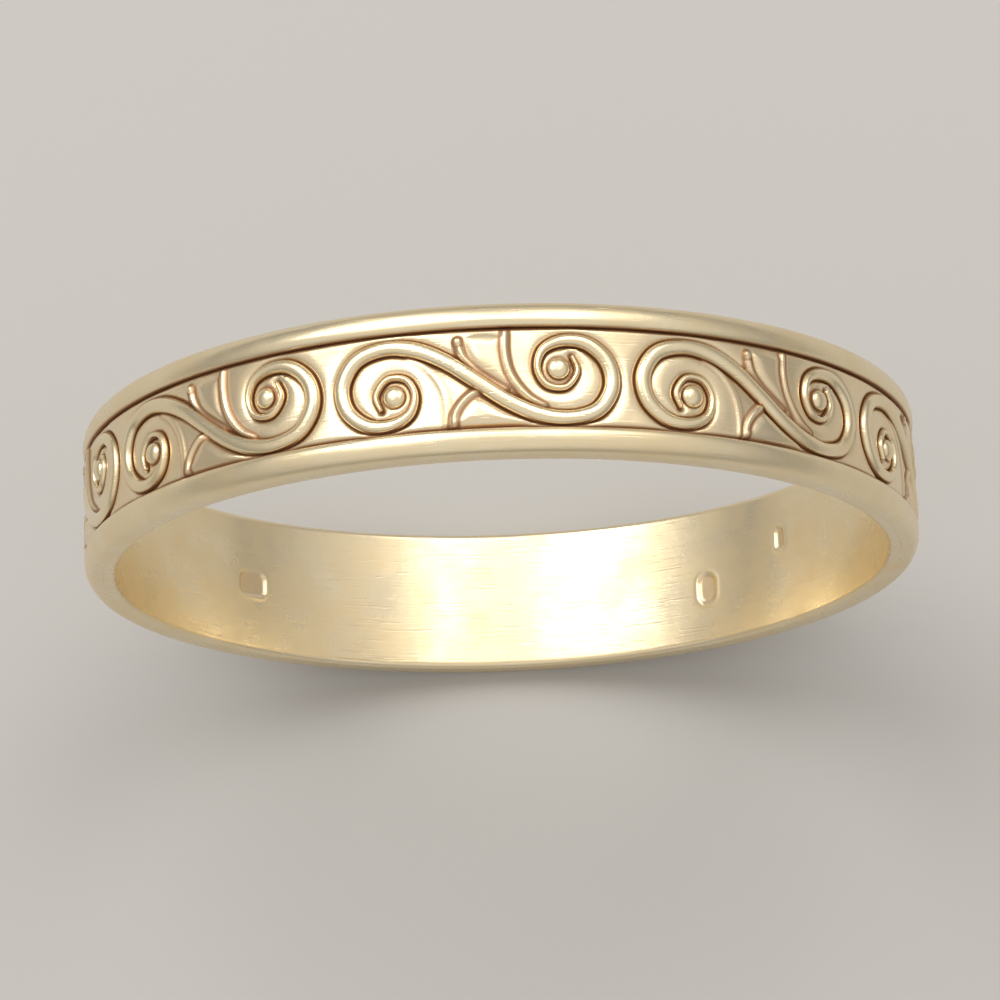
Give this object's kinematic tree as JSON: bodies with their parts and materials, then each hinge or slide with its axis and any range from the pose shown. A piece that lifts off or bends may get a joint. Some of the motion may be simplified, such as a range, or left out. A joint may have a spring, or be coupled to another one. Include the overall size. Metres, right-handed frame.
{
  "type": "wedding band",
  "caption": "Slim yellow gold finger ring with two polished raised rims and a running frieze of S-scrolls with bead centres between them.",
  "frame": {"origin": "centre of the finger bore, midway between the two side faces", "axes": "Y along the finger axis, +Z towards the top of the standing band, -Y the side face seen in the picture"},
  "size_m": [0.0188, 0.0032, 0.0188],
  "materials": {
    "polished_gold": "polished pale yellow gold",
    "frieze_gold": "polished pale yellow gold, softly worn",
    "ground_gold": "chased pale yellow gold with darker recesses"
  },
  "bodies": {
    "root": {"inner_sleeve": "polished_gold", "front_rim_wire": "polished_gold", "back_rim_wire": "polished_gold", "frieze_ground_strip": "ground_gold", "scroll_wire_1": "frieze_gold", "bead_1_left": "frieze_gold", "bead_1_right": "frieze_gold", "scroll_wire_2": "frieze_gold", "bead_2_left": "frieze_gold", "bead_2_right": "frieze_gold", "scroll_wire_3": "frieze_gold", "bead_3_left": "frieze_gold", "bead_3_right": "frieze_gold", "scroll_wire_4": "frieze_gold", "bead_4_left": "frieze_gold", "bead_4_right": "frieze_gold", "scroll_wire_5": "frieze_gold", "bead_5_left": "frieze_gold", "bead_5_right": "frieze_gold", "scroll_wire_6": "frieze_gold", "bead_6_left": "frieze_gold", "bead_6_right": "frieze_gold", "scroll_wire_7": "frieze_gold", "bead_7_left": "frieze_gold", "bead_7_right": "frieze_gold", "scroll_wire_8": "frieze_gold", "bead_8_left": "frieze_gold", "bead_8_right": "frieze_gold", "scroll_wire_9": "frieze_gold", "bead_9_left": "frieze_gold", "bead_9_right": "frieze_gold"}
  },
  "joints": []
}
